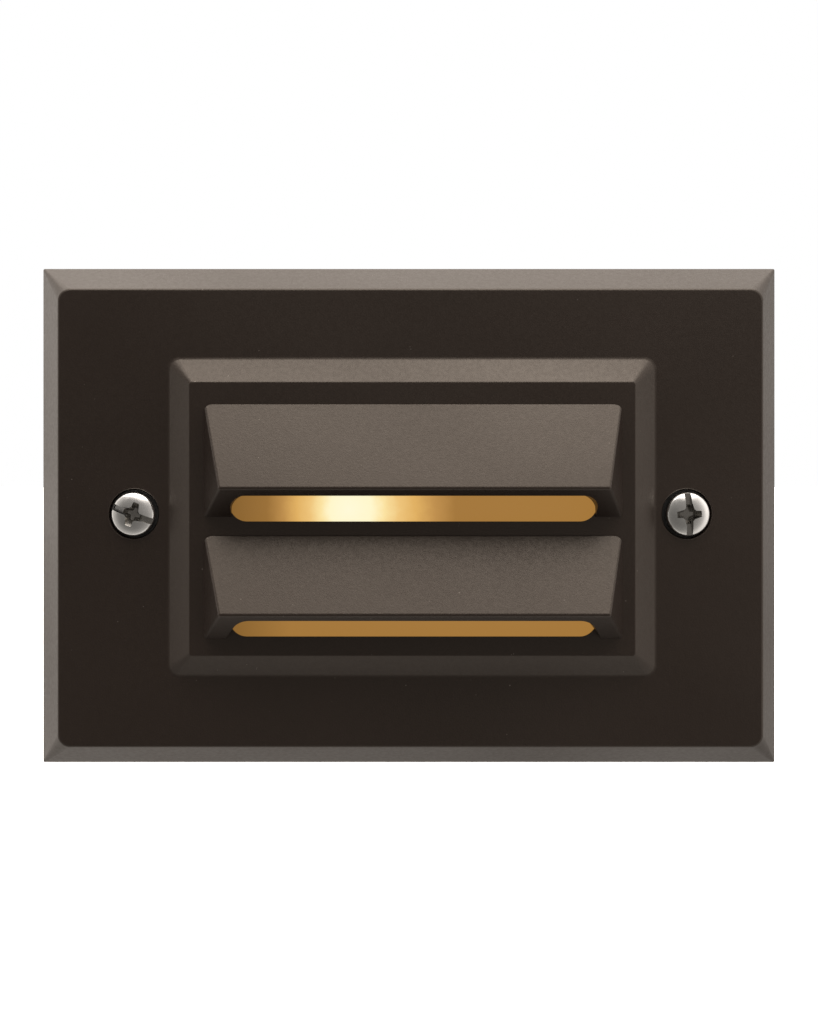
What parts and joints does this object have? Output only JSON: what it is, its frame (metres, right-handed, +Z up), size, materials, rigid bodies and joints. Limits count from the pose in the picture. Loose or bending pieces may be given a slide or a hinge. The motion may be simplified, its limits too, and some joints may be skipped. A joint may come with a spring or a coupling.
{
  "type": "step light",
  "caption": "Recessed louvred step light with bevelled faceplate, two louvre hoods over lit slots, frosted lens, wedge lamp and back box.",
  "frame": {"origin": "middle of the faceplate on the wall plane, where the housing flange and the faceplate rim meet the wall", "axes": "-Y out of the wall towards the viewer, +Y into the wall, +X to the viewer's right, +Z up"},
  "size_m": [0.1142, 0.0708, 0.0772],
  "materials": {
    "bronze_coat": "bronze powder coat, satin with fine texture",
    "screw_steel": "polished plated steel",
    "seal_rubber": "matt black",
    "silicone": "milky silicone",
    "frosted_glass": "frosted, lit from behind",
    "spring_steel": "stamped stainless sheet",
    "foam": "closed-cell foam",
    "box_casting": "dark epoxy coat",
    "insert_brass": "turned brass",
    "tray_white": "white reflector paint",
    "holder_ceramic": "glazed ceramic",
    "contact_bronze": "phosphor bronze spring",
    "lamp_clear": "clear glass",
    "tungsten": "tungsten coil, lit",
    "lead_metal": "nickel wire",
    "wire_black": "silicone insulation, black",
    "wire_white": "silicone insulation, white",
    "nut_plastic": "moulded orange plastic",
    "plug_plastic": "moulded black nylon",
    "zinc": "zinc-plated steel"
  },
  "bodies": {
    "housing": {"housing": "box_casting", "screw_inserts": "insert_brass", "cable_grommet": "seal_rubber", "plug_seal": "seal_rubber", "closure_plug": "plug_plastic", "reflector_tray": "tray_white", "tray_screws": "zinc", "lampholder": "holder_ceramic", "lampholder_screws": "zinc", "socket_contacts": "contact_bronze", "lead_wire_a": "wire_black", "lead_wire_b": "wire_white", "wire_connectors": "nut_plastic"},
    "faceplate": {"faceplate": "bronze_coat", "faceplate_gasket": "foam", "lens_gasket": "silicone", "lens": "frosted_glass", "lens_retainer": "spring_steel", "lens_retainer_screws": "zinc"},
    "seal_left": {"seal_washer_left": "seal_rubber"},
    "screw_left": {"screw_left": "screw_steel"},
    "seal_right": {"seal_washer_right": "seal_rubber"},
    "screw_right": {"screw_right": "screw_steel"},
    "lamp": {"lamp_glass": "lamp_clear", "lamp_filament": "tungsten", "lamp_leads": "lead_metal"}
  },
  "joints": [
    {"name": "faceplate_lift_off", "type": "slide", "parent": "housing", "child": "faceplate", "axis": [0, -1, 0], "range_m": [0, 0.06]},
    {"name": "screw_left_travel", "type": "slide", "parent": "faceplate", "child": "seal_left", "axis": [0, -1, 0], "range_m": [0, 0.01508]},
    {"name": "screw_left_turn", "type": "hinge", "parent": "seal_left", "child": "screw_left", "pos_m": [-0.04165, 0, 0.0006], "axis": [0, -1, 0], "range_deg": [0, 6840]},
    {"name": "screw_right_travel", "type": "slide", "parent": "faceplate", "child": "seal_right", "axis": [0, -1, 0], "range_m": [0, 0.01508]},
    {"name": "screw_right_turn", "type": "hinge", "parent": "seal_right", "child": "screw_right", "pos_m": [0.04165, 0, 0.0006], "axis": [0, -1, 0], "range_deg": [0, 6840]},
    {"name": "lamp_pull", "type": "slide", "parent": "housing", "child": "lamp", "axis": [1, 0, 0], "range_m": [0, 0.012]}
  ],
  "couplings": [
    {"joint": "screw_left_turn", "follows": "screw_left_travel", "rad_per_m": 7915.8},
    {"joint": "screw_right_turn", "follows": "screw_right_travel", "rad_per_m": 7915.8}
  ]
}
